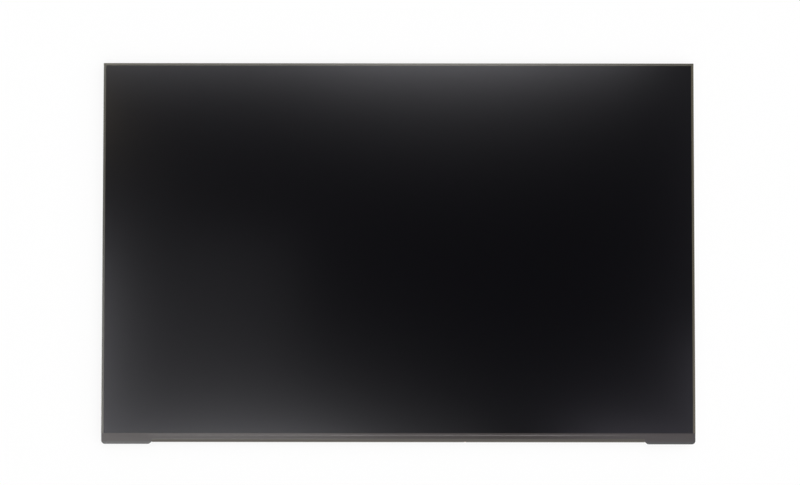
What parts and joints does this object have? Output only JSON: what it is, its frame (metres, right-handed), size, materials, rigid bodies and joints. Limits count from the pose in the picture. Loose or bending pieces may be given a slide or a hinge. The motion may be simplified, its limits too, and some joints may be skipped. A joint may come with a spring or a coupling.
{
  "type": "laptop screen panel",
  "caption": "Bare laptop display panel: matte black screen with a thin grey rim, a grey strip with corner ears along the bottom edge, metal back and driver board behind.",
  "frame": {"origin": "Middle of the outline in plan, on the lowest face, which is the cover over the driver board.", "axes": "+X along the width to the screen's right, +Y to the top of the screen, +Z out of the screen."},
  "size_m": [0.3066, 0.1972, 0.0037],
  "materials": {
    "screen_film": "matte, light-scattering",
    "display_glass": "clear, thin",
    "polariser_film": "smooth",
    "black_tape": "matte",
    "frame_plastic": "fine moulded grain",
    "plate_aluminium": "rolled, satin",
    "optical_film": "translucent",
    "guide_acrylic": "clear",
    "reflector_white": "white, matte",
    "film_amber": "smooth",
    "flex_white": "smooth",
    "diode_white": "smooth",
    "chip_silicon": "polished",
    "board_green": "lacquered",
    "adhesive_white": "matte",
    "chip_black": "moulded",
    "ferrite_grey": "matte",
    "capacitor_tan": "fired",
    "socket_black": "moulded",
    "socket_steel": "plated",
    "contact_gold": "plated"
  },
  "bodies": {
    "root": {"front_polariser": "screen_film", "colour_filter_glass": "display_glass", "array_glass": "display_glass", "rear_polariser": "polariser_film", "shield_tape": "black_tape", "upper_prism_film": "optical_film", "lower_prism_film": "optical_film", "diffuser_film": "optical_film", "light_guide": "guide_acrylic", "reflector_film": "reflector_white", "light_bar_flex": "flex_white", "diodes": "diode_white", "mould_frame": "frame_plastic", "back_plate": "plate_aluminium", "driver_board": "board_green", "board_adhesive": "adhesive_white", "timing_chip": "chip_black", "power_chip": "chip_black", "backlight_chip": "chip_black", "memory_chip": "chip_black", "inductors": "ferrite_grey", "capacitors": "capacitor_tan", "socket_housing": "socket_black", "socket_shell": "socket_steel", "socket_contacts": "contact_gold", "cover_tape": "black_tape", "left_edge_tape": "black_tape", "right_edge_tape": "black_tape", "top_edge_tape": "black_tape", "driver_film_1": "film_amber", "driver_chip_1": "chip_silicon", "driver_film_2": "film_amber", "driver_chip_2": "chip_silicon", "driver_film_3": "film_amber", "driver_chip_3": "chip_silicon", "driver_film_4": "film_amber", "driver_chip_4": "chip_silicon"}
  },
  "joints": []
}
